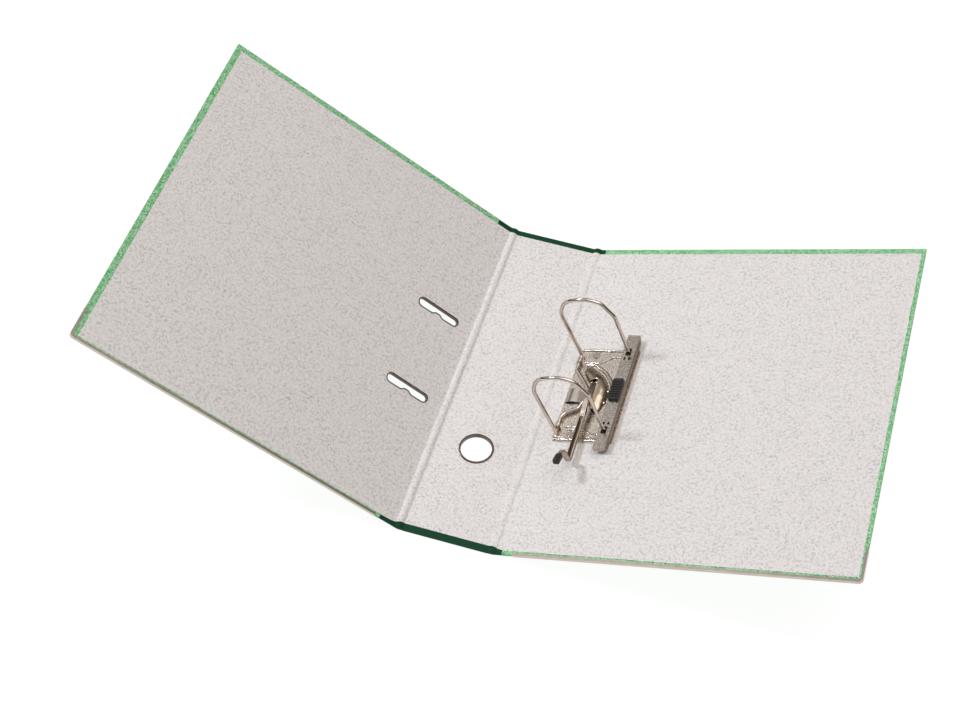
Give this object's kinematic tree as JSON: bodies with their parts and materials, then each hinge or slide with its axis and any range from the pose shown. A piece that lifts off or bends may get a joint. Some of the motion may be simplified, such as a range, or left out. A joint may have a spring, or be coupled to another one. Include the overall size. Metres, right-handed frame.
{
  "type": "lever arch file",
  "caption": "Wide lever arch file lying open: board covers on a cloth spine, with a nickel ring mechanism, hand lever, sliding compressor bar, slotted front cover and a thumb hole.",
  "frame": {"origin": "centre of the spine's outer face, halfway up the file", "axes": "+X across the open case towards the back cover, +Y up the spine towards the top of the file, +Z from the spine into the file"},
  "size_m": [0.5889, 0.3183, 0.1521],
  "materials": {
    "grey_board": "raw grey board",
    "spine_cloth": "dark green book cloth",
    "marbled_paper": "green marbled paper",
    "lining_paper": "pale grey speckled paper",
    "label_paper": "matt paper",
    "nickel_trim": "bright nickel",
    "nickel_plate": "nickel-plated sheet with a fine hammered grain",
    "nickel_wire": "bright nickel",
    "spring_steel": "polished spring steel",
    "black_plastic": "moulded"
  },
  "bodies": {
    "spine": {"spine_board": "grey_board", "spine_cloth": "spine_cloth", "spine_lining": "lining_paper", "spine_label": "label_paper", "thumb_ring": "nickel_trim", "front_hinge_ridge": "spine_cloth", "back_hinge_ridge": "spine_cloth"},
    "front_cover": {"front_cover_board": "grey_board", "front_joint_cloth": "spine_cloth", "front_cover_paper": "marbled_paper", "front_cover_lining": "lining_paper", "front_edge_protector": "nickel_trim", "upper_slot_rim": "nickel_trim", "lower_slot_rim": "nickel_trim"},
    "back_cover": {"back_cover_board": "grey_board", "back_joint_cloth": "spine_cloth", "back_cover_paper": "marbled_paper", "back_cover_lining": "lining_paper", "back_edge_protector": "nickel_trim", "base_plate": "nickel_plate", "mechanism_rivets": "nickel_wire", "upper_post": "nickel_wire", "lower_post": "nickel_wire", "bow_spring": "spring_steel", "lever_bracket": "nickel_wire", "lever_pivot_pin": "nickel_wire"},
    "bow": {"bow": "nickel_wire"},
    "lever": {"lever": "nickel_wire", "lever_cap": "black_plastic", "roller_pin": "nickel_wire"},
    "roller": {"lever_roller": "nickel_wire"},
    "compressor": {"compressor_bar": "nickel_plate", "compressor_spring": "spring_steel"},
    "catch": {"compressor_catch": "black_plastic"}
  },
  "joints": [
    {"name": "front_hinge", "type": "hinge", "parent": "spine", "child": "front_cover", "pos_m": [-0.0383, 0, 0.0003], "axis": [0, -1, 0], "range_deg": [-58.4, 31.6]},
    {"name": "back_hinge", "type": "hinge", "parent": "spine", "child": "back_cover", "pos_m": [0.0383, 0, 0.0003], "axis": [0, 1, 0], "range_deg": [-69.9, 20.1]},
    {"name": "lever_lift", "type": "hinge", "parent": "back_cover", "child": "lever", "pos_m": [0.07447, 0.006, 0.02046], "axis": [-0.9391, 0, -0.3437], "range_deg": [0, 90]},
    {"name": "bow_swing", "type": "hinge", "parent": "back_cover", "child": "bow", "pos_m": [0.05564, -0.003, 0.01229], "axis": [0, -1, 0], "range_deg": [0, 60]},
    {"name": "roller_spin", "type": "hinge", "parent": "lever", "child": "roller", "pos_m": [0.07348, -0.008, 0.02318], "axis": [0.9391, 0, 0.3437], "continuous": true},
    {"name": "compressor_slide", "type": "slide", "parent": "back_cover", "child": "compressor", "axis": [-0.3437, 0, 0.9391], "range_m": [0, 0.038]},
    {"name": "catch_slide", "type": "slide", "parent": "compressor", "child": "catch", "axis": [0, 1, 0], "range_m": [0, 0.004]}
  ],
  "couplings": [
    {"joint": "bow_swing", "follows": "lever_lift", "ratio": 0.6666}
  ]
}
